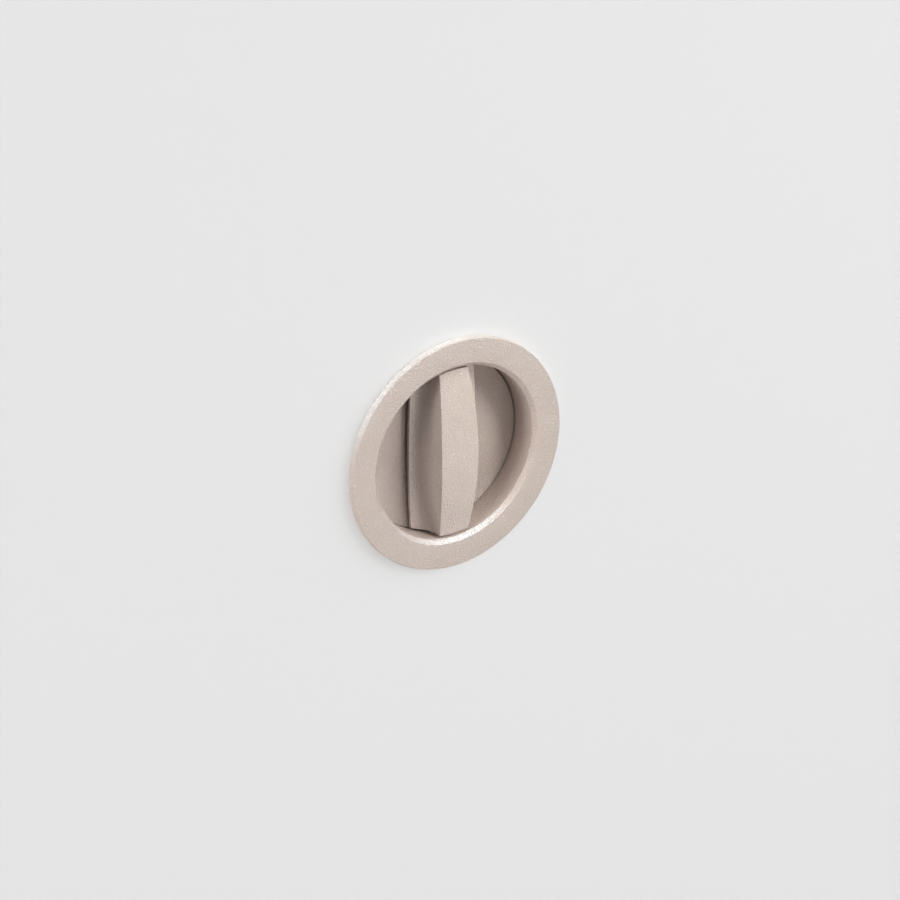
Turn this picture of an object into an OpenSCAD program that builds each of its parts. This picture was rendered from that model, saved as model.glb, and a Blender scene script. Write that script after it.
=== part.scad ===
// Round flush pull with a thumb turn in its recess, for an interior door.
// The cup is fixed in a round bore of the door by two screws inside it.
// The floor disc carries the turn and snaps into the cup over the screws.
// The back of the flange lies on the door face, which is the plane y = 0.
// The pull's axis is the y axis, the hand comes from -y, and +z is up.
// Each piece is drawn lying down, with z towards the hand and y up the door.
// The module upright() then stands it in the door.

/* [Flange] */
// Outer diameter of the flange on the door face
flange_d = 60; // [54:1:76]
// Thickness of the flange
flange_t = 2; // [1.4:0.1:3]
// Radius that softens the flange's front edge
rim_round = 0.3; // [0.1:0.05:0.6]
// Radial width of the bevel around the opening
bevel_w = 1.35; // [0.6:0.05:2.4]
// Depth of the bevel around the opening
bevel_h = 1; // [0.5:0.05:1.3]

/* [Cup] */
// Diameter of the recess behind the bevel
recess_d = 45; // [42:0.5:50]
// Depth of the recess floor below the flange's face
recess_depth = 8; // [7:0.25:11]
// Wall of the barrel around the recess
barrel_wall = 2; // [1.5:0.1:3]
// Thickness of the cup's back
back_t = 2.2; // [1.6:0.1:3.5]
// Width of the ledge that the floor disc lies on
ledge_w = 1.6; // [1.2:0.1:2.2]
// Lead-in chamfer at the back end of the barrel
barrel_chamfer = 0.6; // [0.2:0.1:1.2]
// Clear room round the hub and the retaining ring in the cup's back
back_clear = 0.9; // [0.4:0.1:1.4]

/* [Fixing screws] */
// Thread diameter of the fixing screws
screw_d = 4; // [3:0.5:4]
// Length of a fixing screw under its head
screw_len = 30; // [20:1:50]
// Diameter of the screw head
head_d = 7; // [6:0.25:7.5]
// Height of the screw head
head_h = 2.2; // [1.8:0.1:3]
// Width across the flats of the hexagon socket
socket_af = 2.5; // [2:0.5:3]
// Depth of the hexagon socket
socket_depth = 1.3; // [1:0.1:1.6]
// Depth of the screw's thread, which is also how much thinner its plain neck is
thread_depth = 0.3; // [0.2:0.05:0.4]
// Length of the plain neck behind the cup
neck_past = 0.4; // [0.3:0.1:2]
// Free play round a screw in its hole
screw_play = 0.2; // [0.1:0.05:0.4]
// Room between the screw heads and what is beside or above them
head_air = 0.45; // [0.3:0.05:0.8]

/* [Floor disc] */
// Thickness of the floor disc
disc_t = 1.2; // [1:0.1:2]
// Gap between the disc's edge and the recess wall
disc_gap = 0.25; // [0.1:0.05:0.5]
// Wall of the snap collar behind the disc
collar_wall = 0.8; // [0.6:0.1:1]
// Length of the snap collar
collar_len = 2.1; // [1.8:0.1:3]
// Gap between the snap collar and the cup's bore
collar_gap = 0.15; // [0.1:0.05:0.25]
// Radius of the bead on the snap collar
bead_r = 0.25; // [0.2:0.05:0.4]
// Width of the slots that part the collar's fingers
slot_w = 2; // [1.2:0.1:3]
// Number of slots in the snap collar
slot_count = 8; // [8:4:12]
// Wall of the hub that holds the bush
hub_wall = 1.8; // [1.2:0.1:2.4]
// Length of the hub behind the disc
hub_len = 3; // [2:0.25:4]

/* [Thumb turn] */
// Gap between the turn's ends and the recess wall
turn_gap = 1.15; // [0.4:0.05:1.5]
// Height of the turn's middle above the flange's face
turn_proud = 1.7; // [0.2:0.1:3]
// Fall of the domed front from its middle to its ends
dome_drop = 2.45; // [1:0.05:3.5]
// Width of the turn's front at its middle
front_w = 10.6; // [8:0.1:12.4]
// How far each side of the front draws in from its middle to its ends
side_bow = 1.65; // [0.8:0.05:2.4]
// Draft of the turn's flanks, in degrees
flank_draft = 8; // [4:0.5:12]
// Radius of the cove between a flank and its wing
cove_r = 3; // [1.5:0.1:3.5]
// Width of the turn over its two wings
wing_w = 19.4; // [18.6:0.1:24]
// How far each wing's edge draws in from its middle to its ends
wing_bow = 0.73; // [0.3:0.01:1.5]
// Thickness of a wing at its edge
wing_t = 1.1; // [0.6:0.05:1.5]
// Slope of a wing's top down to its edge, in degrees
wing_slope = 6; // [0:0.5:10]
// Gap between the turn and the recess floor
floor_gap = 0.8; // [0.7:0.05:1.6]

/* [Bearing and spindle] */
// Diameter of the turn's journal
journal_d = 12; // [11:0.5:13]
// Running clearance on the journal's radius
run_fit = 0.05; // [0.02:0.01:0.1]
// Play of the turn along its axis, at each end of the bush
end_play = 0.2; // [0.1:0.05:0.4]
// Wall of the bush
bush_wall = 1.2; // [0.8:0.1:1.6]
// How far the bush's rim stands out from its sleeve
bush_rim = 1.2; // [0.6:0.1:1.6]
// Clearance of pieces that sit tight in one another
seat_fit = 0.02; // [0.01:0.01:0.05]
// Width of the square spindle
spindle_w = 6; // [5:0.5:6.5]
// Length of the spindle
spindle_len = 40; // [34:1:60]
// Depth of the spindle's socket in front of the retaining ring
spindle_grip = 9; // [6:0.5:10]
// Chamfer turned on the corners of the spindle's ends
spindle_chamfer = 1; // [0.4:0.1:1.4]
// Diameter of the pin that holds the spindle
pin_d = 2; // [1.5:0.5:2.5]
// Metal between the pin's hole and the journal's end
pin_land = 1.5; // [1:0.1:2.5]
// Wall of the rolled pin
pin_wall = 0.4; // [0.3:0.05:0.5]

/* [Washers and retaining ring] */
// Thickness of the flat washer
washer_t = 0.5; // [0.3:0.1:1]
// How far the washers stand out from the journal
washer_w = 3; // [2:0.1:3.4]
// Thickness of the bowed spring washer
spring_t = 0.3; // [0.2:0.05:0.5]
// Height of the bowed spring washer in place
spring_h = 1; // [0.7:0.05:1.6]
// Thickness of the retaining ring
ring_t = 1; // [0.8:0.1:1.2]
// Depth of the ring's groove in the journal
groove_depth = 0.25; // [0.15:0.05:0.35]
// Width of the ring's band opposite its opening
ring_band = 2.1; // [1.6:0.1:2.5]
// How much narrower the band is at its opening
ring_taper = 0.7; // [0:0.1:0.8]
// Radius of each lug of the ring
lug_r = 1.5; // [1.2:0.1:1.6]
// Diameter of the plier holes in the lugs
lug_hole_d = 1.4; // [1:0.1:1.6]
// Half angle of the ring's opening, in degrees
ring_open = 14; // [8:1:18]

/* [Hidden] */

// Colours of the coated pieces, the steel pieces and the plastic bush
coat_colour = [0.79, 0.74, 0.69];
steel_colour = [0.72, 0.73, 0.75];
plastic_colour = [0.16, 0.16, 0.17];

// Smoothness of small and of large round surfaces
$fn = 96;
fine_fn = 180;
sweep_fn = 720;
// Flats that make up the cove's arc
cove_steps = 14;
// Overlap of joined solids and of cutters past the face that they cut
eps = 0.5;

// Heights, from the flange's face down to the end of the spindle
face_z = flange_t;
floor_z = face_z - recess_depth;
ledge_z = floor_z - disc_t;
back_z = ledge_z - max(head_h, collar_len) - head_air;
barrel_end_z = back_z - back_t;
crown_z = face_z + turn_proud;
wing_z = floor_z + floor_gap;
hub_z = ledge_z - hub_len;
washer_z = hub_z - end_play;
spring_z = washer_z - washer_t;
ring_z = spring_z - spring_h;
ring_back_z = ring_z - ring_t;
pin_z = ring_back_z - pin_land - pin_d / 2;
journal_end_z = pin_z - pin_d / 2 - pin_land;
spindle_top_z = ring_z + spindle_grip;

// Radii from the recess wall inwards
recess_r = recess_d / 2;
barrel_r = recess_r + barrel_wall;
bore_r = recess_r - ledge_w;
collar_r = bore_r - collar_gap;
collar_in_r = collar_r - collar_wall;
screw_at = collar_in_r - head_air - head_d / 2;
turn_r = recess_r - turn_gap;

// Radii from the journal outwards
journal_r = journal_d / 2;
bush_bore_r = journal_r + run_fit;
bush_r = bush_bore_r + bush_wall;
hub_bore_r = bush_r + seat_fit;
hub_r = hub_bore_r + hub_wall;
washer_r = journal_r + washer_w;
groove_r = journal_r - groove_depth;
lug_at = groove_r + lug_r;
back_hole_r = max(hub_r, washer_r, lug_at + lug_r) + back_clear;

// Snap bead: its height, and the play round it in its groove
bead_z = ledge_z - collar_len + 2 * bead_r;
bead_play = 0.15;

// Keys in the cup that stop the floor disc turning, and their play in the slots
key_play = 0.2;
key_w = slot_w - 2 * key_play;

// Play round the spindle in its socket, and the length that its pin is short of the journal
socket_play = 0.05;
pin_short = 0.6;
pin_slit = 0.35;
ring_play = 0.05;

// Radius of an arc from the length of half its chord and its rise
function arc_radius(half_chord, rise) = (half_chord * half_chord + rise * rise) / (2 * rise);

dome_r = arc_radius(turn_r, dome_drop);
side_r = arc_radius(turn_r, side_bow);
wing_edge_r = arc_radius(turn_r, wing_bow);
spring_bow = spring_h - spring_t;
spring_r = arc_radius(washer_r, spring_bow);

// Centre of the cove, at its radius from the flank's line and from the wing's top
front_half = front_w / 2;
wing_half = wing_w / 2;
wing_top_z = wing_z + wing_t;
from_wing = cove_r + sin(wing_slope) * wing_half + cos(wing_slope) * wing_top_z;
from_flank = cove_r + cos(flank_draft) * front_half + sin(flank_draft) * crown_z;
cove_x = (from_flank * cos(wing_slope) - from_wing * sin(flank_draft)) / cos(flank_draft + wing_slope);
cove_z = (from_wing * cos(flank_draft) - from_flank * sin(wing_slope)) / cos(flank_draft + wing_slope);

// Stand a piece in the door: z goes towards the hand, y goes up the door
module upright() {
    rotate([90, 0, 0])
        children();
}

// A tube from z_low to z_high
module tube(outer_r, inner_r, z_low, z_high) {
    translate([0, 0, z_low])
        difference() {
            cylinder(r = outer_r, h = z_high - z_low);
            translate([0, 0, -eps])
                cylinder(r = inner_r, h = z_high - z_low + 2 * eps);
        }
}

// Half section of the cup: flange, bevel, recess wall, ledge and back
module cup_section() {
    difference() {
        union() {
            polygon([
                [back_hole_r, barrel_end_z],
                [barrel_r - barrel_chamfer, barrel_end_z],
                [barrel_r, barrel_end_z + barrel_chamfer],
                [barrel_r, 0],
                [flange_d / 2, 0],
                [flange_d / 2, face_z - rim_round],
                [flange_d / 2 - rim_round, face_z],
                [recess_r + bevel_w, face_z],
                [recess_r, face_z - bevel_h],
                [recess_r, ledge_z],
                [bore_r, ledge_z],
                [bore_r, back_z],
                [back_hole_r, back_z]
            ]);
            translate([flange_d / 2 - rim_round, face_z - rim_round])
                circle(r = rim_round);
        }
        translate([collar_r, bead_z])
            circle(r = bead_r + bead_play);
    }
}

// A key on the cup's bore, at the top or the bottom, that enters a collar slot
module key() {
    intersection() {
        translate([-key_w / 2, collar_in_r, back_z - eps])
            cube([key_w, ledge_w, collar_len + eps]);
        tube(bore_r + eps, collar_in_r, back_z - eps, ledge_z);
    }
}

module rose_cup() {
    color(coat_colour)
        upright()
            difference() {
                union() {
                    rotate_extrude($fn = fine_fn)
                        cup_section();
                    key();
                    mirror([0, 1, 0])
                        key();
                }
                for (side = [-1, 1])
                    translate([side * screw_at, 0, barrel_end_z - eps])
                        cylinder(r = screw_d / 2 + screw_play, h = back_t + 2 * eps);
            }
}

// Half section of a screw with a cylindrical head, a plain neck and a pointed end
module screw_section() {
    tip = screw_d / 4;
    neck_r = screw_d / 2 - thread_depth;
    neck_end_z = barrel_end_z - neck_past;
    polygon([
        [0, back_z + head_h],
        [head_d / 2 - tip / 3, back_z + head_h],
        [head_d / 2, back_z + head_h - tip / 3],
        [head_d / 2, back_z],
        [neck_r, back_z],
        [neck_r, neck_end_z],
        [screw_d / 2, neck_end_z - thread_depth],
        [screw_d / 2, back_z - screw_len + tip],
        [screw_d / 2 - tip, back_z - screw_len],
        [0, back_z - screw_len]
    ]);
}

// A fixing screw on the left (-1) or the right (1) of the hub
module fixing_screw(side) {
    color(steel_colour)
        upright()
            translate([side * screw_at, 0, 0])
                difference() {
                    rotate_extrude()
                        screw_section();
                    translate([0, 0, back_z + head_h - socket_depth])
                        cylinder(d = socket_af / cos(30), h = socket_depth + eps, $fn = 6);
                }
}

module fixing_screw_left() {
    fixing_screw(-1);
}

module fixing_screw_right() {
    fixing_screw(1);
}

// Half section of the floor disc, with its hub and its snap collar
module disc_section() {
    edge_break = disc_gap / 2;
    polygon([
        [hub_bore_r, hub_z],
        [hub_r, hub_z],
        [hub_r, ledge_z],
        [recess_r - disc_gap, ledge_z],
        [recess_r - disc_gap, floor_z - edge_break],
        [recess_r - disc_gap - edge_break, floor_z],
        [hub_bore_r, floor_z]
    ]);
    translate([collar_in_r, ledge_z - collar_len])
        square([collar_wall, collar_len + disc_t / 2]);
    translate([collar_r, bead_z])
        circle(r = bead_r);
}

module floor_disc() {
    color(coat_colour)
        upright()
            difference() {
                rotate_extrude($fn = fine_fn)
                    disc_section();
                for (turn = [0 : slot_count - 1])
                    rotate([0, 0, turn * 360 / slot_count])
                        translate([collar_in_r - eps, -slot_w / 2, ledge_z - collar_len - eps])
                            cube([ledge_w + collar_wall + eps, slot_w, collar_len + eps]);
            }
}

// Flanged bush in the hub: its rim is the face that the turn bears on
module neck_bush() {
    color(plastic_colour)
        upright() {
            tube(bush_r, bush_bore_r, hub_z, floor_z + seat_fit);
            tube(bush_r + bush_rim, bush_bore_r, floor_z, wing_z - end_play);
        }
}

// Section of one flank: a drafted side, a cove and a wing, out from the turn's middle line
module flank_section() {
    reach = side_r - front_half;
    top_z = crown_z + eps;
    from_angle = 270 - wing_slope;
    to_angle = 180 + flank_draft;
    polygon([
        [0, wing_z],
        [reach + wing_half + eps, wing_z],
        [reach + wing_half + eps, wing_top_z - tan(wing_slope) * eps],
        for (step = [0 : cove_steps])
            let (angle = from_angle + (to_angle - from_angle) * step / cove_steps)
                [reach + cove_x + cove_r * cos(angle), cove_z + cove_r * sin(angle)],
        [reach + front_half - eps * tan(flank_draft), top_z],
        [0, top_z]
    ]);
}

// Everything to the right of the left flank, which bows about an axis far to the right
module inside_left_flank() {
    translate([side_r - front_half, 0, 0])
        rotate_extrude($fn = sweep_fn)
            flank_section();
}

// Everything to the right of the left wing's edge
module inside_left_edge() {
    translate([wing_edge_r - wing_half, 0, wing_z - eps])
        cylinder(r = wing_edge_r, h = crown_z - wing_z + 2 * eps, $fn = sweep_fn);
}

// The bar of the turn: two flanks, two wing edges, round ends and a domed front
module turn_bar() {
    intersection() {
        translate([0, 0, wing_z])
            cylinder(r = turn_r, h = crown_z - wing_z + eps, $fn = fine_fn);
        translate([0, 0, crown_z - dome_r])
            sphere(r = dome_r, $fn = sweep_fn);
        inside_left_flank();
        mirror([1, 0, 0])
            inside_left_flank();
        inside_left_edge();
        mirror([1, 0, 0])
            inside_left_edge();
    }
}

// The journal below the bar, with the groove for the retaining ring
module turn_journal() {
    difference() {
        translate([0, 0, journal_end_z])
            cylinder(r = journal_r, h = wing_z + wing_t / 2 - journal_end_z);
        tube(journal_r + eps, groove_r, ring_back_z - ring_play, ring_z + ring_play);
    }
}

module thumb_turn() {
    socket_w = spindle_w + 2 * socket_play;
    color(coat_colour)
        upright()
            difference() {
                union() {
                    turn_bar();
                    turn_journal();
                }
                translate([-socket_w / 2, -socket_w / 2, journal_end_z - eps])
                    cube([socket_w, socket_w, spindle_top_z + socket_play + eps - journal_end_z]);
                pin_hole(journal_d);
            }
}

// Cross hole for the spindle's pin, through a piece of the given width
module pin_hole(width) {
    translate([-width / 2 - eps, 0, pin_z])
        rotate([0, 90, 0])
            cylinder(r = pin_d / 2 + seat_fit, h = width + 2 * eps);
}

module thrust_washer() {
    color(steel_colour)
        upright()
            tube(washer_r, journal_r + ring_play, spring_z, washer_z);
}

// A washer bent about the y axis: a ring cut from a thin round shell
module spring_washer() {
    color(steel_colour)
        upright()
            intersection() {
                tube(washer_r, journal_r + ring_play, ring_z - eps, spring_z + eps);
                translate([0, washer_r + eps, spring_z - spring_r - spring_t])
                    rotate([90, 0, 0])
                        tube(spring_r + spring_t, spring_r, 0, 2 * (washer_r + eps));
            }
}

// Outline of the retaining ring, open towards the bottom
module ring_outline() {
    band_r = groove_r + ring_band - ring_taper / 2;
    lug_turn = ring_open + asin(lug_r / lug_at);
    difference() {
        union() {
            translate([0, ring_taper / 2])
                circle(r = band_r);
            for (side = [-1, 1])
                rotate(side * lug_turn)
                    translate([0, -lug_at])
                        circle(r = lug_r);
        }
        circle(r = groove_r + seat_fit);
        polygon([
            [0, 0],
            [-washer_r * tan(ring_open), -washer_r - lug_r],
            [washer_r * tan(ring_open), -washer_r - lug_r]
        ]);
        for (side = [-1, 1])
            rotate(side * lug_turn)
                translate([0, -lug_at])
                    circle(d = lug_hole_d);
    }
}

module retaining_ring() {
    color(steel_colour)
        upright()
            translate([0, 0, ring_back_z])
                linear_extrude(height = ring_t)
                    ring_outline();
}

// Square bar with turned chamfers on both ends, and a cross hole for its pin
module spindle() {
    corner_r = spindle_w / sqrt(2);
    end_r = corner_r - spindle_chamfer;
    wide_r = corner_r + eps;
    color(steel_colour)
        upright()
            difference() {
                translate([0, 0, spindle_top_z - spindle_len])
                    intersection() {
                        translate([-spindle_w / 2, -spindle_w / 2, 0])
                            cube([spindle_w, spindle_w, spindle_len]);
                        rotate_extrude()
                            polygon([
                                [0, 0],
                                [end_r, 0],
                                [wide_r, wide_r - end_r],
                                [wide_r, spindle_len - wide_r + end_r],
                                [end_r, spindle_len],
                                [0, spindle_len]
                            ]);
                    }
                pin_hole(spindle_w);
            }
}

// Rolled pin across the journal and the spindle
module spindle_pin() {
    pin_len = journal_d - pin_short;
    color(steel_colour)
        upright()
            translate([-pin_len / 2, 0, pin_z])
                rotate([0, 90, 0])
                    difference() {
                        tube(pin_d / 2, pin_d / 2 - pin_wall, 0, pin_len);
                        translate([0, -pin_slit / 2, -eps])
                            cube([pin_d, pin_slit, pin_len + 2 * eps]);
                    }
}

rose_cup();
fixing_screw_left();
fixing_screw_right();
floor_disc();
neck_bush();
thumb_turn();
thrust_washer();
spring_washer();
retaining_ring();
spindle();
spindle_pin();
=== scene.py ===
# %% [markdown]
# # A round flush pull with a thumb turn
#
# This is a round pull that is let into a door: a cup with a flat flange, and in the
# cup a turn that works the lock. Every solid of it is already modelled at its real
# size. Here the pieces that show are modelled again with finer edges, each gets its
# finish, and the pull is lit as on a photographer's sample board.

# %% Load the solids
import math

import bmesh
import bpy
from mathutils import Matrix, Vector


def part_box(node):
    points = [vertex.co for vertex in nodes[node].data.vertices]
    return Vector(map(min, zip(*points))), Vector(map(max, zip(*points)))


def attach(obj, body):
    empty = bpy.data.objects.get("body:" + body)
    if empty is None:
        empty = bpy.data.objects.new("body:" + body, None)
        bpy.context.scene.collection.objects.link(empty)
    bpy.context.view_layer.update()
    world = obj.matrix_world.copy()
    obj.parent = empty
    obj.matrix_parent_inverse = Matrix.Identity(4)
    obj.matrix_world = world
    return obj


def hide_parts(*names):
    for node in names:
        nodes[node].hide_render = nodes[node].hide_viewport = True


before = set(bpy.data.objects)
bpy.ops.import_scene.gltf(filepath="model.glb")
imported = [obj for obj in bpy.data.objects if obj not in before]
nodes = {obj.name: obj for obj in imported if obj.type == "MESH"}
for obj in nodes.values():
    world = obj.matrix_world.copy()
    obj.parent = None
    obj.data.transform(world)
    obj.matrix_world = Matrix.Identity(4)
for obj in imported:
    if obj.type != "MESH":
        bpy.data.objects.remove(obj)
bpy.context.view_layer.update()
mm = 0.001
print("solids:", sorted(nodes))

# %% [markdown]
# ## The camera
#
# The picture looks at the pull from the left and from above, through a long lens, so
# that the round flange shows as a clean ellipse. A long lens far away does the same
# here. The camera's own right and up directions then say where to aim, so that the
# flange's centre falls on its place in the picture.

# %% Camera
view_turn = math.radians(-34.40)
view_tilt = math.radians(27.08)
picture_size = 900
flange_reach = 30
flange_reach_pixels = 125.28
mm_per_pixel = flange_reach / flange_reach_pixels
centre_pixel = (456.81, 453.86)
camera_distance = 5.0
film_width = 36
flange_face_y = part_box("rose_cup")[0].y

back = Vector((math.sin(view_turn) * math.cos(view_tilt),
               -math.cos(view_turn) * math.cos(view_tilt),
               math.sin(view_tilt)))
right = Vector((math.cos(view_turn), math.sin(view_turn), 0))
up = back.cross(right)
shift_right = (centre_pixel[0] - picture_size / 2) * mm_per_pixel * mm
shift_down = (centre_pixel[1] - picture_size / 2) * mm_per_pixel * mm
aim = Vector((0, flange_face_y, 0)) - right * shift_right + up * shift_down

camera_data = bpy.data.cameras.new("camera")
camera = bpy.data.objects.new("camera", camera_data)
bpy.context.scene.collection.objects.link(camera)
bpy.context.scene.camera = camera
camera.location = aim + back * camera_distance
camera.rotation_mode = "QUATERNION"
camera.rotation_quaternion = back.to_track_quat("Z", "Y")
picture_width = picture_size * mm_per_pixel * mm
camera_data.sensor_width = film_width
camera_data.lens = film_width * camera_distance / picture_width
print("lens:", round(camera_data.lens), "mm, picture is", round(picture_width, 4), "m wide")

# %% [markdown]
# ## Tools for turned pieces
#
# The cup, the floor disc and the screws are turned pieces, and a lathe needs one thing
# from its maker: the outline of half a section. Each outline here is drawn as by hand.
# A small plane is shrunk to one point, the point is extruded from corner to corner, and
# corners that the real piece has soft are rounded before anything is turned. Rounding
# one corner of a flat line is much cleaner than bevelling a whole edge later.
#
# Sizes are in millimetres along the pull's own directions: to the right, up the door,
# and out towards the hand. One helper turns them into the scene's metres.

# %% Places and selection
def at(across, upward, outward):
    """A place in the scene, from millimetres to the right, up, and out to the hand."""
    return Vector((across, -outward, upward)) * mm


def select_nothing():
    """Back to object mode, with nothing selected."""
    if bpy.context.object and bpy.context.object.mode != "OBJECT":
        bpy.ops.object.mode_set(mode="OBJECT")
    bpy.ops.object.select_all(action="DESELECT")


def activate(piece):
    """Select one piece alone."""
    select_nothing()
    piece.select_set(True)
    bpy.context.view_layer.objects.active = piece


def select_points(piece, wanted):
    """In edit mode, select the points that the test wants, and say how many."""
    points = bmesh.from_edit_mesh(piece.data)
    points.select_mode = {"VERT"}
    for face_or_edge in [*points.faces, *points.edges]:
        face_or_edge.select = False
    for vertex in points.verts:
        vertex.select = wanted(vertex.co)
    points.select_flush(True)
    bmesh.update_edit_mesh(piece.data)
    return sum(vertex.select for vertex in points.verts)


print("a place 10 mm out from the middle:", at(0, 0, 10))

# %% Outline and lathe
weld_reach = 0.001 * mm


def draw_outline(name, corners, closed=True):
    """Draw a line through corners of (radius, outward place) in millimetres."""
    select_nothing()
    bpy.ops.mesh.primitive_plane_add(size=mm)
    piece = bpy.context.object
    piece.name = name
    bpy.ops.object.mode_set(mode="EDIT")
    bpy.ops.mesh.select_mode(type="VERT")
    bpy.ops.mesh.merge(type="CENTER")
    places = [at(radius, 0, outward) for radius, outward in corners]
    bpy.ops.transform.translate(value=places[0])
    for here, there in zip(places, places[1:]):
        bpy.ops.mesh.extrude_vertices_move(TRANSFORM_OT_translate={"value": there - here})
    if closed:
        ends = (places[0], places[-1])
        select_points(piece, lambda place: min((place - end).length for end in ends) < weld_reach)
        bpy.ops.mesh.edge_face_add()
    return piece


def round_corner(piece, corner, softness, steps=5):
    """Round one corner of an outline, starting that far before it."""
    place = at(corner[0], 0, corner[1])
    found = select_points(piece, lambda point: (point - place).length < weld_reach)
    assert found == 1, (piece.name, corner, found)
    bpy.ops.mesh.bevel(offset=softness * mm, offset_type="OFFSET", segments=steps,
                       affect="VERTICES")


def turn_on_lathe(piece, steps):
    """Spin the outline round the pull's axis, and point its faces outwards."""
    bpy.ops.mesh.select_all(action="SELECT")
    bpy.ops.mesh.spin(steps=steps, angle=math.tau, center=(0, 0, 0), axis=(0, 1, 0))
    bpy.ops.mesh.select_all(action="SELECT")
    bpy.ops.mesh.remove_doubles(threshold=weld_reach)
    bpy.ops.mesh.normals_make_consistent(inside=False)
    bpy.ops.object.mode_set(mode="OBJECT")
    print(piece.name, "has", len(piece.data.polygons), "faces")


def combine(piece, tool, operation):
    """Cut the tool from the piece, or join it on, and delete the tool."""
    activate(piece)
    change = piece.modifiers.new(operation, "BOOLEAN")
    change.operation = operation
    change.solver = "EXACT"
    change.object = tool
    bpy.ops.object.modifier_apply(modifier=change.name)
    bpy.data.objects.remove(tool)


def shade(piece, sharp_from=30):
    """Smooth shading that keeps edges sharper than this many degrees."""
    activate(piece)
    bpy.ops.object.shade_smooth_by_angle(angle=math.radians(sharp_from))


print("points closer than", weld_reach / mm, "mm become one")

# %% [markdown]
# ## The cup
#
# The cup is one turned piece. Its flange is 2 mm thick with a softened front edge, a
# bevel leads into the recess, and behind the recess a ledge and a bore take the floor
# disc. The real one was turned and then coated, and the coat makes every outer edge a
# little rounder, so its corners are rounded by one to five tenths of a millimetre. The
# picture shows the bevel a little narrower than the solid has it, so it is here too.
#
# The two screw holes and the two keys that stop the floor disc from turning aren't
# round, so they are cut and joined afterwards.

# %% The cup's sizes
cup_low, cup_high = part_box("rose_cup")
disc_low, disc_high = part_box("floor_disc")
turn_low, turn_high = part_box("thumb_turn")
screw_low, screw_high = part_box("fixing_screw_right")

disc_gap = 0.25
disc_t = 1.2
barrel_wall = 2.0
back_thickness = 2.2
ledge_w = 1.6
bead_drop = 1.6
groove_deep = 0.25

flange_r = cup_high.x / mm
face_z = -cup_low.y / mm
barrel_end_z = -cup_high.y / mm
floor_z = -disc_low.y / mm
disc_r = disc_high.x / mm
recess_r = disc_r + disc_gap
barrel_r = recess_r + barrel_wall
bore_r = recess_r - ledge_w
back_hole_r = 9.97
ledge_z = floor_z - disc_t
back_z = barrel_end_z + back_thickness
bevel_w = 1.12
bevel_h = 1.0
screw_at = (screw_low.x + screw_high.x) / 2 / mm
bead_z = ledge_z - bead_drop
groove_bottom_r = bore_r + groove_deep
groove_half = 0.37
print("flange radius", round(flange_r, 3), "recess radius", round(recess_r, 3),
      "screws at", round(screw_at, 3))

# %% The cup's outline, turned
fine_lathe = 256
rim = (flange_r, face_z)
rim_back = (flange_r, 0)
bevel_top = (recess_r + bevel_w, face_z)
bevel_foot = (recess_r, face_z - bevel_h)
ledge_edge = (bore_r, ledge_z)
barrel_edge = (barrel_r, barrel_end_z)
hole_edge = (back_hole_r, barrel_end_z)

cup = draw_outline("cup", [
    hole_edge, barrel_edge, (barrel_r, 0), rim_back, rim, bevel_top, bevel_foot,
    (recess_r, ledge_z), ledge_edge,
    (bore_r, bead_z + groove_half), (groove_bottom_r, bead_z), (bore_r, bead_z - groove_half),
    (bore_r, back_z), (back_hole_r, back_z)])
for corner, softness, steps in (
        (rim, 0.18, 6), (rim_back, 0.3, 4), (bevel_top, 0.12, 5), (bevel_foot, 0.25, 6),
        (ledge_edge, 0.1, 3), (barrel_edge, 0.5, 4), (hole_edge, 0.15, 3)):
    round_corner(cup, corner, softness, steps)
turn_on_lathe(cup, fine_lathe)

# %% Screw holes and keys
screw_hole_r = 2.2
hole_steps = 64
key_width = 1.6
key_reach = 0.95
key_inner_r = bore_r - key_reach
key_length = 2.1
key_root = 0.5
key_sunk = 0.25
upright_turn = (math.pi / 2, 0, 0)

for side in (-1, 1):
    select_nothing()
    bpy.ops.mesh.primitive_cylinder_add(
        vertices=hole_steps, radius=screw_hole_r * mm, depth=2 * back_thickness * mm,
        location=at(side * screw_at, 0, back_z - back_thickness / 2), rotation=upright_turn)
    combine(cup, bpy.context.object, "DIFFERENCE")

for side in (-1, 1):
    select_nothing()
    key_middle = (key_inner_r + bore_r + key_root) / 2
    bpy.ops.mesh.primitive_cube_add(size=1, location=at(
        0, side * key_middle, back_z + key_length / 2 - key_sunk))
    key = bpy.context.object
    key.scale = (key_width * mm, (key_length + 2 * key_sunk) * mm,
                 (bore_r + key_root - key_inner_r) * mm)
    combine(cup, key, "UNION")
shade(cup)
print("the cup has", len(cup.data.polygons), "faces")

# %% [markdown]
# ## The thumb turn
#
# The turn is a bar cast in one piece: a domed front that draws in towards its ends, two
# drafted flanks that bow the same way, a cove at the foot of each flank, and thin wings
# over the floor. It is the piece the eye rests on. Cutting it from intersecting solids
# gives ragged edges that a bevel spoils, so it is shaped as a block of rows, columns and
# levels instead. A grid is extruded once for each level of the section, then every
# point of the block is moved to its place by the rules that shape the real one. All
# faces stay four-sided, so the edges can be rounded evenly afterwards.
#
# The picture shows the bar's ends a little nearer to the wall and a little lower than the
# solid has them, and a slightly wider slit under the wings. This bar has its own values
# for these: the reach of its ends, the drop of its dome, and the height and thickness of
# its wings.

# %% The turn's sizes
end_reach = 0.6
turn_r = turn_high.z / mm + end_reach
crown_z = -turn_low.y / mm
wing_gap = 1.1
wing_z = floor_z + wing_gap
wing_t = 0.8
dome_drop = 2.95
side_bow = 1.65
wing_bow = 0.73
front_half = 5.3
wing_half = turn_high.x / mm
flank_draft = math.radians(8)
wing_slope = math.radians(6)
cove_r = 3.0


def arc_radius(half_chord, rise):
    """Radius of a shallow arc."""
    return (half_chord ** 2 + rise ** 2) / (2 * rise)


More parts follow.
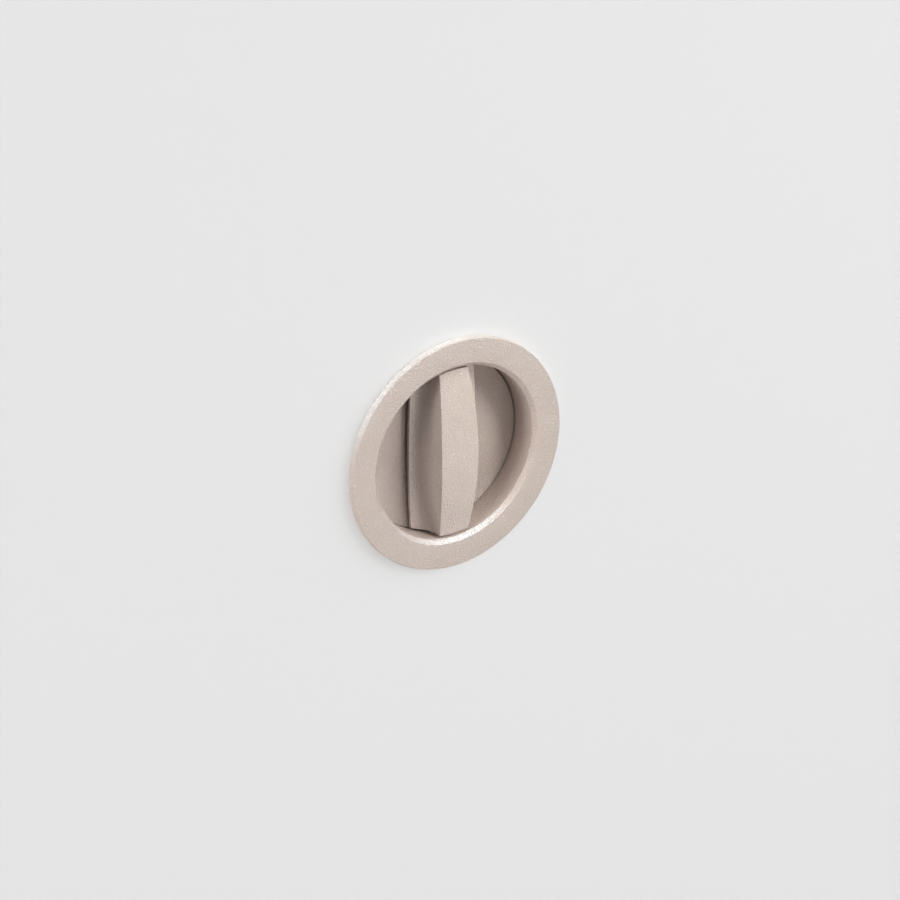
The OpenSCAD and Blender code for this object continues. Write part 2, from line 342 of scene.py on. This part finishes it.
dome_r = arc_radius(turn_r, dome_drop)
side_axis = arc_radius(turn_r, side_bow) - front_half
edge_axis = arc_radius(turn_r, wing_bow) - wing_half
from_wing = cove_r + math.sin(wing_slope) * wing_half + math.cos(wing_slope) * (wing_z + wing_t)
from_flank = cove_r + math.cos(flank_draft) * front_half + math.sin(flank_draft) * crown_z
cove_x = ((from_flank * math.cos(wing_slope) - from_wing * math.sin(flank_draft))
          / math.cos(flank_draft + wing_slope))
cove_z = ((from_wing * math.cos(flank_draft) - from_flank * math.sin(wing_slope))
          / math.cos(flank_draft + wing_slope))
print("crown at", round(crown_z, 3), "wings reach", round(wing_half, 3),
      "cove centre", round(cove_x, 3), round(cove_z, 3))

# %% [markdown]
# The section's levels run from the front edge down the flank, round the cove, out over
# the wing and down its edge. A level is a width at the middle of the bar and a height.

# %% The section's levels
cove_steps = 14
cove_from = math.pi + flank_draft
cove_to = math.pi * 1.5 - wing_slope


def cove_point(angle):
    """Width and height on the cove's arc."""
    return cove_x + cove_r * math.cos(angle), cove_z + cove_r * math.sin(angle)


cove = [cove_point(cove_from + (cove_to - cove_from) * step / cove_steps)
        for step in range(cove_steps + 1)]
flank_steps = 4
wing_steps = 3
front_rounds = 6
cove_first = flank_steps
wing_first = cove_first + cove_steps
edge_top = wing_first + wing_steps
edge_foot = edge_top + 1
level_count = edge_foot + 1


def bowed(width, upward):
    """Width of the flank or the cove at a height up the bar."""
    return math.sqrt((side_axis + width) ** 2 - upward ** 2) - side_axis


def edge_width(upward):
    """Width of the wing at a height up the bar."""
    return math.sqrt((edge_axis + wing_half) ** 2 - upward ** 2) - edge_axis


def dome_height(across, upward):
    """Height of the domed front over a place on the bar."""
    return crown_z - dome_r + math.sqrt(dome_r ** 2 - across ** 2 - upward ** 2)


def front_edge(upward):
    """Width and height where the flank meets the domed front."""
    height = crown_z
    for _ in range(front_rounds):
        width = bowed(front_half + math.tan(flank_draft) * (crown_z - height), upward)
        height = dome_height(width, upward)
    return width, height


def level_at(level, upward):
    """Width and height of one level of the section, at a height up the bar."""
    if level <= cove_first:
        width, height = front_edge(upward)
        foot_width, foot_height = bowed(cove[0][0], upward), cove[0][1]
        share = level / cove_first
        return width + (foot_width - width) * share, height + (foot_height - height) * share
    if level <= wing_first:
        width, height = cove[level - cove_first]
        return bowed(width, upward), height
    outer = edge_width(upward)
    if level == edge_foot:
        return outer, wing_z
    inner = bowed(cove[-1][0], upward)
    width = inner + (outer - inner) * (level - wing_first) / (edge_top - wing_first)
    ring = math.hypot(width + side_axis, upward) - side_axis
    return width, cove[-1][1] - math.tan(wing_slope) * (ring - cove[-1][0])


print("levels:", [tuple(round(value, 2) for value in level_at(level, 0))
                  for level in range(level_count)])

# %% [markdown]
# The block starts as a flat grid, as many columns across as rows up the bar. Each
# extrusion adds one level, one unit deep, so that a point's place in the block says
# its column, its row and its level. The loop then moves every point to its real place.
# The bar's ends lie on a cylinder, so a row's height up the bar and its width depend on
# each other, and a few rounds of correction settle both.

# %% Block to bar
columns = 10
rows = 56
end_rounds = 8


def bar_place(column, row, level):
    """Real place of a point of the block."""
    across_share = 2 * column / columns - 1
    up_share = 2 * row / rows - 1
    upward = up_share * turn_r
    for _ in range(end_rounds):
        width, height = level_at(level, upward)
        across = across_share * width
        upward = up_share * math.sqrt(turn_r ** 2 - across ** 2)
    if level == 0:
        height = dome_height(across, upward)
    return at(across, upward, height)


select_nothing()
bpy.ops.mesh.primitive_grid_add(x_subdivisions=columns, y_subdivisions=rows, size=1)
turn = bpy.context.object
turn.name = "turn"
turn.scale = (columns, rows, 1)
turn.location = (columns / 2, rows / 2, 0)
bpy.ops.object.transform_apply(location=True, rotation=False, scale=True)
bpy.ops.object.mode_set(mode="EDIT")
bpy.ops.mesh.select_all(action="SELECT")
for _ in range(level_count - 1):
    bpy.ops.mesh.extrude_region_move(TRANSFORM_OT_translate={"value": (0, 0, -1)})
block = bmesh.from_edit_mesh(turn.data)
for vertex in block.verts:
    vertex.co = bar_place(round(vertex.co.x), round(vertex.co.y), round(-vertex.co.z))
bmesh.update_edit_mesh(turn.data)
bpy.ops.mesh.select_all(action="SELECT")
bpy.ops.mesh.normals_make_consistent(inside=False)
print("the bar is", [round(side / mm, 2) for side in turn.dimensions], "mm")

# %% [markdown]
# The edges of the real bar are broken by about a tenth of a millimetre before it is
# coated. The sharp edges are picked by their angle, and one bevel rounds them all,
# corners included.

# %% Rounded edges
edge_softness = 0.12
edge_steps = 4
sharp_angle = math.radians(40)
bpy.ops.mesh.select_mode(type="EDGE")
bpy.ops.mesh.select_all(action="DESELECT")
bpy.ops.mesh.edges_select_sharp(sharpness=sharp_angle)
bpy.ops.mesh.bevel(offset=edge_softness * mm, segments=edge_steps, affect="EDGES",
                   clamp_overlap=True)
bpy.ops.object.mode_set(mode="OBJECT")
print("the bar has", len(turn.data.polygons), "faces")

# %% [markdown]
# Behind the bar, its journal runs in the bush. It is a turned piece with a groove for
# the retaining ring, joined to the bar's underside. A square socket for the spindle
# and a cross hole for its pin are cut from it.

# %% Journal
journal_r = 6.0
journal_end_z = -turn_high.y / mm
ring_front_z = -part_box("retaining_ring")[0].y / mm
ring_back_z = -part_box("retaining_ring")[1].y / mm
ring_groove_deep = 0.25
groove_r = journal_r - ring_groove_deep
groove_play = 0.05
journal_softness = 0.4
journal_lathe = 128
journal_top_z = wing_z + wing_t / 2
journal_edge = (journal_r, journal_end_z)
journal = draw_outline("journal", [
    (0, journal_top_z), (journal_r, journal_top_z),
    (journal_r, ring_front_z + groove_play), (groove_r, ring_front_z + groove_play),
    (groove_r, ring_back_z - groove_play), (journal_r, ring_back_z - groove_play),
    journal_edge, (0, journal_end_z)], closed=False)
round_corner(journal, journal_edge, journal_softness, steps=3)
turn_on_lathe(journal, journal_lathe)
combine(turn, journal, "UNION")

# %% Socket and pin hole
spindle_low, spindle_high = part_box("spindle")
socket_play = 0.1
socket_w = (spindle_high.x - spindle_low.x) / mm + socket_play
socket_top_z = -spindle_low.y / mm + socket_play / 2
pin_z = -(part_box("spindle_pin")[0].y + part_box("spindle_pin")[1].y) / 2 / mm
pin_hole_r = 1.02
pin_hole_steps = 48
cut_past = 1.0

select_nothing()
socket_low_z = journal_end_z - cut_past
bpy.ops.mesh.primitive_cube_add(size=1, location=at(0, 0, (socket_top_z + socket_low_z) / 2))
socket = bpy.context.object
socket.scale = (socket_w * mm, (socket_top_z - socket_low_z) * mm, socket_w * mm)
combine(turn, socket, "DIFFERENCE")
select_nothing()
bpy.ops.mesh.primitive_cylinder_add(
    vertices=pin_hole_steps, radius=pin_hole_r * mm, depth=2 * (journal_r + cut_past) * mm,
    location=at(0, 0, pin_z), rotation=(0, math.pi / 2, 0))
combine(turn, bpy.context.object, "DIFFERENCE")
shade(turn)
print("the turn has", len(turn.data.polygons), "faces")

# %% [markdown]
# ## The floor disc
#
# The floor of the recess is a disc of its own, with a fine gap round its edge. It
# carries the bush in a hub, and a slotted collar snaps it into the cup over the screws.
# It is one more turned outline. A bar laid across the collar cuts two slots at once, so
# four bars at even angles cut all eight, and each has its middle taken out to spare the
# hub. The real disc has a little play in the cup and rests against its lower left side,
# so it is moved there at the end, and its gap is widest at the upper right.

# %% Floor disc
hub_bore_r = 7.27
hub_wall = 1.8
hub_r = hub_bore_r + hub_wall
hub_z = -disc_high.y / mm
collar_gap = 0.15
collar_wall = 0.8
collar_length = 2.1
collar_r = bore_r - collar_gap
collar_in_r = collar_r - collar_wall
collar_z = ledge_z - collar_length
bead_r = 0.25
coat_t = 0.03
coated_disc_r = disc_r + coat_t
disc_edge = (coated_disc_r, floor_z)
disc = draw_outline("disc", [
    (hub_bore_r, hub_z), (hub_r, hub_z), (hub_r, ledge_z),
    (collar_in_r, ledge_z), (collar_in_r, collar_z), (collar_r, collar_z),
    (collar_r, bead_z - bead_r), (collar_r + bead_r, bead_z), (collar_r, bead_z + bead_r),
    (collar_r, ledge_z), (coated_disc_r, ledge_z), disc_edge, (hub_bore_r, floor_z)])
for corner, softness in (
        (disc_edge, 0.05), ((collar_r + bead_r, bead_z), 0.15), ((hub_r, hub_z), 0.2)):
    round_corner(disc, corner, softness, steps=3)
turn_on_lathe(disc, fine_lathe)

# %% Slots in the collar
slot_w = 2.0
slot_count = 8
slot_deep = 3.0
slot_z = ledge_z - slot_deep / 2
core_gap = 0.5
core_length = 8.0
for slot in range(slot_count // 2):
    select_nothing()
    bpy.ops.mesh.primitive_cube_add(size=1)
    cutter = bpy.context.object
    cutter.scale = (2 * (collar_r + cut_past) * mm, slot_deep * mm, slot_w * mm)
    cutter.rotation_euler = (0, slot * math.tau / slot_count, 0)
    cutter.location = at(0, 0, slot_z)
    bpy.ops.object.transform_apply(location=True, rotation=True, scale=True)
    select_nothing()
    bpy.ops.mesh.primitive_cylinder_add(
        vertices=hole_steps, radius=(collar_in_r - core_gap) * mm, depth=core_length * mm,
        location=at(0, 0, slot_z), rotation=upright_turn)
    combine(cutter, bpy.context.object, "DIFFERENCE")
    combine(disc, cutter, "DIFFERENCE")
print("the collar has", slot_count, "slots of", slot_w, "mm")

# %% The disc's play in the cup
disc_shift = at(-0.11, -0.09, 0)
activate(disc)
bpy.ops.object.mode_set(mode="EDIT")
bpy.ops.mesh.select_all(action="SELECT")
bpy.ops.transform.translate(value=disc_shift)
bpy.ops.object.mode_set(mode="OBJECT")
shade(disc)
print("the floor disc has", len(disc.data.polygons), "faces")

# %% [markdown]
# ## The fixing screws
#
# Two screws behind the floor disc hold the cup to the door. Their socket heads are
# turned, and the six-sided socket is cut in. The thread is a small ridge that climbs the
# core: one ridge section is drawn and the Screw modifier winds it. Where the ridge
# starts and ends, its points are drawn in to the core, as on a rolled thread.

# %% The screws' sizes
head_r = (screw_high.x - screw_low.x) / 2 / mm
head_top_z = -screw_low.y / mm
screw_end_z = -screw_high.y / mm
neck_r = 1.7
neck_past_back = 0.4
neck_end_z = barrel_end_z - neck_past_back
core_r = 1.62
crest_r = 2.0
pitch = 0.7
tip_r = 1.0
socket_across_flats = 2.5
socket_depth = 1.3
head_softness = 0.35
screw_lathe = 64
print("the screw is", round(head_top_z - screw_end_z, 2), "mm long")

# %% Head, neck and core
head_edge = (head_r, head_top_z)
screw = draw_outline("screw", [
    (0, head_top_z), head_edge, (head_r, back_z), (neck_r, back_z), (neck_r, neck_end_z),
    (core_r, neck_end_z - (neck_r - core_r)), (core_r, screw_end_z + core_r - tip_r),
    (tip_r, screw_end_z), (0, screw_end_z)], closed=False)
round_corner(screw, head_edge, head_softness, steps=4)
turn_on_lathe(screw, screw_lathe)
select_nothing()
bpy.ops.mesh.primitive_cylinder_add(
    vertices=6, radius=socket_across_flats / 2 / math.cos(math.pi / 6) * mm,
    depth=2 * socket_depth * mm, location=at(0, 0, head_top_z), rotation=upright_turn)
combine(screw, bpy.context.object, "DIFFERENCE")

# %% Thread
ridge_sunk = 0.2
ridge_foot_r = core_r - ridge_sunk
ridge_half = 0.3
crest_half = 0.06
thread_steps = 24
below_neck = 0.1
thread_top_z = neck_end_z - below_neck
turns = int((thread_top_z - screw_end_z) / pitch) - 1
fade_length = 1.2
ridge = draw_outline("thread", [
    (ridge_foot_r, thread_top_z + ridge_half), (ridge_foot_r, thread_top_z - ridge_half),
    (crest_r, thread_top_z - crest_half), (crest_r, thread_top_z + crest_half)])
bpy.ops.object.mode_set(mode="OBJECT")
winding = ridge.modifiers.new("winding", "SCREW")
winding.axis = "Y"
winding.angle = math.tau
winding.screw_offset = pitch * mm
winding.iterations = turns
winding.steps = thread_steps
winding.render_steps = thread_steps
bpy.ops.object.modifier_apply(modifier=winding.name)
first_y = min(vertex.co.y for vertex in ridge.data.vertices)
last_y = max(vertex.co.y for vertex in ridge.data.vertices)
for vertex in ridge.data.vertices:
    reach = math.hypot(vertex.co.x, vertex.co.z)
    room = min(vertex.co.y - first_y, last_y - vertex.co.y) / mm
    kept = min(max(room - 2 * ridge_half, 0) / fade_length, 1)
    allowed = (ridge_foot_r + (crest_r - ridge_foot_r) * kept) * mm
    if reach > allowed:
        vertex.co.x *= allowed / reach
        vertex.co.z *= allowed / reach
bpy.ops.object.mode_set(mode="EDIT")
bpy.ops.mesh.select_all(action="SELECT")
bpy.ops.mesh.remove_doubles(threshold=weld_reach)
bpy.ops.mesh.fill_holes(sides=0)
bpy.ops.mesh.select_all(action="SELECT")
bpy.ops.mesh.normals_make_consistent(inside=False)
bpy.ops.object.mode_set(mode="OBJECT")
print("the thread has", turns, "turns and", len(ridge.data.polygons), "faces")

# %% A screw on each side
activate(screw)
ridge.select_set(True)
bpy.ops.object.join()
shade(screw)
screws = {}
for side, name in ((-1, "screw_left"), (1, "screw_right")):
    one = screw.copy()
    one.data = screw.data.copy()
    one.name = name
    bpy.context.scene.collection.objects.link(one)
    activate(one)
    one.location = at(side * screw_at, 0, 0)
    bpy.ops.object.transform_apply(location=True, rotation=True, scale=True)
    screws[name] = one
bpy.data.objects.remove(screw)
print("screws:", sorted(screws))

# %% [markdown]
# ## What moves with what
#
# The cup, the floor disc and the screws stay on the door. The turn moves. Each new piece
# rides on its body and hides the solid it is drawn over, and the table names its finish.

# %% Ride and replace
pieces = (
    (cup, "rose_cup", "cup", "coated_metal"),
    (disc, "floor_disc", "cup", "coated_metal"),
    (turn, "thumb_turn", "turn", "coated_metal"),
    (screws["screw_left"], "fixing_screw_left", "cup", "plated_steel"),
    (screws["screw_right"], "fixing_screw_right", "cup", "plated_steel"))
for piece, node, body, slot in pieces:
    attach(piece, body)
    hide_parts(node)
print("new pieces:", [piece.name for piece, *_ in pieces])

# %% [markdown]
# ## The coat
#
# The cup, the floor disc and the turn share one finish: a fine sand-textured powder
# coat in a warm greige. Baked powder isn't flat. It has grains of about half a
# millimetre that glitter where the light grazes them, a slow cloudiness in colour, and a
# few stray specks. The grain's tops are also painted a lighter colour, a painted glint,
# and the specks are painted near-white, a painted sparkle. Grain, clouds and specks are
# one texture each. All of them read the object's own coordinates in metres, so the grain
# has its real size on every piece.

# %% Tools for finishes
def new_finish(name):
    """A new material with one principled shader, and its node tree."""
    material = bpy.data.materials.new(name)
    material.use_nodes = True
    return material, material.node_tree, material.node_tree.nodes["Principled BSDF"]


def noise(tree, size, detail):
    """Noise with features of that size in millimetres, on the object's coordinates."""
    place = tree.nodes.new("ShaderNodeTexCoord")
    texture = tree.nodes.new("ShaderNodeTexNoise")
    texture.inputs["Scale"].default_value = 1 / (size * mm)
    texture.inputs["Detail"].default_value = detail
    tree.links.new(place.outputs["Object"], texture.inputs["Vector"])
    return texture.outputs["Fac"]


def ramp(tree, value, low, high, from_low=0.3, from_high=0.7):
    """Spread a noise value over a range of numbers."""
    node = tree.nodes.new("ShaderNodeMapRange")
    node.inputs["From Min"].default_value = from_low
    node.inputs["From Max"].default_value = from_high
    node.inputs["To Min"].default_value = low
    node.inputs["To Max"].default_value = high
    tree.links.new(value, node.inputs["Value"])
    return node.outputs["Result"]


def blend_colours(tree, share, colour_a, colour_b):
    """Mix two colours by a share from 0 to 1. Either may be another node's output."""
    node = tree.nodes.new("ShaderNodeMix")
    node.data_type = "RGBA"
    tree.links.new(share, node.inputs["Factor"])
    for socket, colour in ((node.inputs[6], colour_a), (node.inputs[7], colour_b)):
        if isinstance(colour, tuple):
            socket.default_value = (*colour, 1)
        else:
            tree.links.new(colour, socket)
    return node.outputs[2]


def raise_grain(tree, shader, height, depth):
    """Let a height from 0 to 1 raise the surface by a depth in millimetres."""
    bump = tree.nodes.new("ShaderNodeBump")
    bump.inputs["Distance"].default_value = depth * mm
    bump.inputs["Strength"].default_value = 1
    tree.links.new(height, bump.inputs["Height"])
    tree.links.new(bump.outputs["Normal"], shader.inputs["Normal"])


print("a finish is a material with noise of a real size")

# %% Powder coat
coat_light = (0.512, 0.424, 0.374)
coat_dark = (0.488, 0.403, 0.355)
# painted glint: a lighter colour painted on the grain's tops, the same under any light
painted_glint_colour = (0.60, 0.53, 0.49)
# painted sparkle: near-white specks painted into the coat's colour
painted_sparkle_colour = (0.98, 0.97, 0.95)
cloud_size = 7.0
grain_size = 0.42
grain_depth = 0.26
grain_roughness = (0.42, 0.30)
painted_glint_from = 0.58
painted_glint_full = 0.80
speck_spacing = 3.5
speck_r = 0.14
speck_core = 0.6

coat, tree, shader = new_finish("powder_coat")
grain = noise(tree, grain_size, detail=1)
clouds = noise(tree, cloud_size, detail=3)
painted_sparkle_cells = tree.nodes.new("ShaderNodeTexVoronoi")
painted_sparkle_cells.inputs["Scale"].default_value = 1 / (speck_spacing * mm)
place = tree.nodes.new("ShaderNodeTexCoord")
tree.links.new(place.outputs["Object"], painted_sparkle_cells.inputs["Vector"])
edge = speck_r / speck_spacing
# painted sparkle: a mask of small specks that turn the colour near-white
painted_sparkle = ramp(tree, painted_sparkle_cells.outputs["Distance"], 1, 0, speck_core * edge, edge)
# painted glint: the grain's tops are mixed towards the lighter colour
painted_glint = ramp(tree, grain, 0, 1, painted_glint_from, painted_glint_full)
colour = blend_colours(tree, ramp(tree, clouds, 0, 1), coat_dark, coat_light)
colour = blend_colours(tree, painted_glint, colour, painted_glint_colour)
tree.links.new(blend_colours(tree, painted_sparkle, colour, painted_sparkle_colour), shader.inputs["Base Color"])
tree.links.new(ramp(tree, grain, *grain_roughness), shader.inputs["Roughness"])
raise_grain(tree, shader, grain, grain_depth)
print("powder coat with", grain_size, "mm grain")

# %% [markdown]
# ## The hidden pieces' finishes
#
# Behind the cup there are plated screws, washer and spindle, springy dark steel, and a
# bush of black plastic. These finishes differ in colour and gloss, and all have a fine
# grain of their own, so one function makes them.

# %% Plated steel, spring steel and bush plastic
def fine_finish(name, light, dark, metallic, gloss_range, size, depth):
    """A finish whose colour, gloss and surface vary with one fine noise."""
    material, tree, shader = new_finish(name)
    grain = noise(tree, size, detail=4)
    shader.inputs["Metallic"].default_value = metallic
    tree.links.new(blend_colours(tree, ramp(tree, grain, 0, 1), dark, light),
                   shader.inputs["Base Color"])
    tree.links.new(ramp(tree, grain, *gloss_range), shader.inputs["Roughness"])
    raise_grain(tree, shader, grain, depth)
    return material


plated_steel = fine_finish(
    "plated_steel", light=(0.66, 0.67, 0.69), dark=(0.59, 0.60, 0.62),
    metallic=1.0, gloss_range=(0.26, 0.34), size=0.5, depth=0.004)
spring_steel = fine_finish(
    "spring_steel", light=(0.20, 0.20, 0.21), dark=(0.11, 0.11, 0.12),
    metallic=1.0, gloss_range=(0.28, 0.42), size=0.4, depth=0.004)
bush_plastic = fine_finish(
    "bush_plastic", light=(0.035, 0.035, 0.038), dark=(0.022, 0.022, 0.024),
    metallic=0.0, gloss_range=(0.38, 0.50), size=0.6, depth=0.006)
print("finishes:", plated_steel.name, spring_steel.name, bush_plastic.name)

# %% A finish for every piece
def dress(piece, finish):
    """Give a piece one finish."""
    piece.data.materials.clear()
    piece.data.materials.append(finish)


new_finishes = {"coated_metal": coat, "plated_steel": plated_steel}
for piece, _, _, slot in pieces:
    dress(piece, new_finishes[slot])

node_finishes = {
    "neck_bush": bush_plastic, "thrust_washer": plated_steel, "spring_washer": spring_steel,
    "retaining_ring": spring_steel, "spindle": plated_steel, "spindle_pin": spring_steel}
for name, finish in node_finishes.items():
    node = nodes[name]
    for slot in node.material_slots:
        slot.material = finish
print("dressed", len(pieces), "new pieces and", len(node_finishes), "solids")

# %% [markdown]
# The solids that stay have knife-sharp edges, which no real piece has. A Weld modifier
# joins their loose triangles, and a Bevel modifier breaks each edge by a little less
# than a tenth of a millimetre, so that the edges catch a line of light.

# %% Broken edges
broken_edge = 0.08
broken_steps = 2
broken_from = math.radians(35)
for name in node_finishes:
    node = nodes[name]
    weld = node.modifiers.new("weld", "WELD")
    weld.merge_threshold = weld_reach
    softer = node.modifiers.new("broken_edge", "BEVEL")
    softer.width = broken_edge * mm
    softer.segments = broken_steps
    softer.limit_method = "ANGLE"
    softer.angle_limit = broken_from
print("broken edges on", sorted(node_finishes))

# %% [markdown]
# ## The sample board
#
# The pull is shown let into a plain pale board, as it would sit in a door. The board is a
# large disc with a round hole for the barrel: a circle's edge is extruded and scaled
# outwards, and the ring gets a thickness. It is thin, so that the barrel and the screws
# still show from behind.

# %% Board
board_r = 300
hole_r = 25
board_t = 1.5
board_steps = 192
board_grey = 0.62
board_gloss = 0.7
select_nothing()
bpy.ops.mesh.primitive_circle_add(
    vertices=board_steps, radius=hole_r * mm, location=at(0, 0, 0), rotation=upright_turn)
board = bpy.context.object
board.name = "board"
bpy.ops.object.transform_apply(location=True, rotation=True, scale=True)
bpy.ops.object.mode_set(mode="EDIT")
bpy.ops.mesh.select_all(action="SELECT")
bpy.ops.mesh.extrude_edges_move()
bpy.ops.transform.resize(value=(board_r / hole_r, 1, board_r / hole_r), center_override=(0, 0, 0))
bpy.ops.mesh.select_all(action="SELECT")
bpy.ops.mesh.extrude_region_move(TRANSFORM_OT_translate={"value": (0, board_t * mm, 0)})
bpy.ops.mesh.select_all(action="SELECT")
bpy.ops.mesh.normals_make_consistent(inside=False)
bpy.ops.object.mode_set(mode="OBJECT")
shade(board)

board_paint, tree, shader = new_finish("board_paint")
shader.inputs["Base Color"].default_value = (board_grey, board_grey, board_grey, 1)
shader.inputs["Roughness"].default_value = board_gloss
dress(board, board_paint)
print("the board is", 2 * board_r, "mm across")

# %% [markdown]
# ## Light
#
# A photographer lights a small metal part and the surface it lies on apart from each
# other, with masks, and so does this scene. A light in Blender can name a group of
# objects that it lights, and a group that throws shadows from it. The cup gets its main
# light from the upper right, and low ones that skim over its rim from the left. The floor
# and the turn get theirs from higher up, which leave the upper side of the recess dark.
# The board's own lights are wide and weak, so that the pull's shadow stays soft.

# %% Groups to light
groups = {
    "cup": [cup, *screws.values(), *(nodes[name] for name in node_finishes)],
    "floor": [disc],
    "turn": [turn],
    "board": [board]}
groups["pull"] = groups["cup"] + groups["floor"] + groups["turn"]
lit = {}
for name, members in groups.items():
    lit[name] = bpy.data.collections.new("lit_" + name)
    bpy.context.scene.collection.children.link(lit[name])
    for member in members:
        lit[name].objects.link(member)
print("lit apart:", {name: len(members) for name, members in groups.items()})

# %% Softboxes
usual_distance = 1.2


def softbox(group, name, direction, size, power, distance=usual_distance):
    """A square soft light of a size in metres that shines at one group of the pull."""
    light_data = bpy.data.lights.new(name, "AREA")
    light_data.shape = "SQUARE"
    light_data.size = size
    light_data.energy = power
    light = bpy.data.objects.new(group + "_" + name, light_data)
    bpy.context.scene.collection.objects.link(light)
    towards = Vector(direction).normalized()
    light.location = towards * distance
    light.rotation_mode = "QUATERNION"
    light.rotation_quaternion = towards.to_track_quat("Z", "Y")
    light.light_linking.receiver_collection = lit[group]
    light.light_linking.blocker_collection = lit["pull"]
    return light


for group, name, direction, size, power in (
        ("cup", "key", (0.41, -0.69, 0.60), 0.5, 12.0),
        ("cup", "front", (0.0, -0.95, 0.30), 0.8, 3.2),
        ("cup", "below", (0.50, -0.60, -0.60), 0.8, 2.3),
        ("cup", "left", (-0.90, -0.38, 0.20), 0.5, 3.0),
        ("cup", "skim_left", (-0.97, -0.22, 0.0), 0.35, 5.5),
        ("cup", "skim_high", (-0.60, -0.20, 0.77), 0.35, 1.2),
        ("cup", "skim_low", (-0.85, -0.22, -0.47), 0.35, 2.4),
        ("cup", "skim_right", (0.95, -0.25, 0.20), 0.35, 1.9),
        ("floor", "key", (0.50, -0.62, 0.60), 0.4, 9.3),
        ("floor", "front", (0.0, -0.98, -0.10), 0.5, 2.0),
        ("floor", "high", (0.20, -0.60, 0.78), 0.6, 2.6),
        ("floor", "top", (0.30, -0.35, 0.88), 0.6, 1.1),
        ("floor", "below", (0.50, -0.60, -0.60), 0.8, 3.4),
        ("turn", "key", (0.50, -0.62, 0.60), 0.4, 6.2),
        ("turn", "key_low", (0.21, -0.76, 0.62), 0.4, 3.9),
        ("turn", "right", (0.40, -0.90, -0.10), 0.8, 3.3),
        ("turn", "top", (0.30, -0.35, 0.88), 0.6, 4.6),
        ("turn", "below", (0.50, -0.60, -0.60), 0.8, 6.8),
        ("turn", "skim_left", (-0.95, -0.22, -0.25), 0.35, 2.8),
        ("turn", "skim_high", (-0.60, -0.20, 0.77), 0.35, 6.0),
        ("board", "top_right", (0.60, -0.45, 0.66), 1.0, 4.8),
        ("board", "right", (0.90, -0.40, 0.10), 1.0, 7.1),
        ("board", "left", (-0.90, -0.40, 0.10), 1.0, 2.8),
        ("board", "front", (0.0, -1.0, 0.05), 2.0, 12.4)):
    made = softbox(group, name, direction, size, power)
    print(made.name, "at", [round(place, 2) for place in made.location])

# %% [markdown]
# Six lights do special work. Three glow on the coat's gloss alone, so they add the white
# shine of the bevel and of the rim without brightening the colour. They are a little
# blue, because the coat is warm and the shine should come out white. One fills the
# board, and the pull throws no shadow from it. The last two stand behind the board and
# show the barrel, the screws and the spindle to whoever looks from the back. The room
# gives little light, and looks pale where the picture goes past the board's edge.

# %% Glow and fill
glow_colour = (0.70, 0.90, 1.0)
bevel_glow = softbox("cup", "bevel_glow", (0.41, -0.69, 0.60), size=1.2, power=76)
rim_glow = softbox("cup", "rim_glow", (0.08, 0.74, 0.65), size=1.6, power=20)
side_glow = softbox("cup", "side_glow", (-0.52, 0.74, 0.36), size=1.0, power=24)
for glow in (bevel_glow, rim_glow, side_glow):
    glow.visible_diffuse = False
    glow.data.color = glow_colour
far = 2 * usual_distance
fill = softbox("board", "fill", (-0.50, -0.80, -0.30), size=1.5, power=29.3, distance=far)
fill.light_linking.blocker_collection = lit["board"]
softbox("pull", "behind", (0.30, 0.90, 0.50), size=1.0, power=9)
softbox("board", "back", (0.40, 0.80, 0.30), size=2.0, power=60, distance=far)

world = bpy.data.worlds.new("pale_room")
bpy.context.scene.world = world
world.use_nodes = True
background = world.node_tree.nodes["Background"]
background.inputs["Color"].default_value = (1, 1, 1, 1)
seen = world.node_tree.nodes.new("ShaderNodeLightPath").outputs["Is Camera Ray"]
room_light = 0.09
room_seen = 0.75
room = ramp(world.node_tree, seen, room_light, room_seen, from_low=0, from_high=1)
world.node_tree.links.new(room, background.inputs["Strength"])
bpy.context.scene.view_settings.view_transform = "Standard"
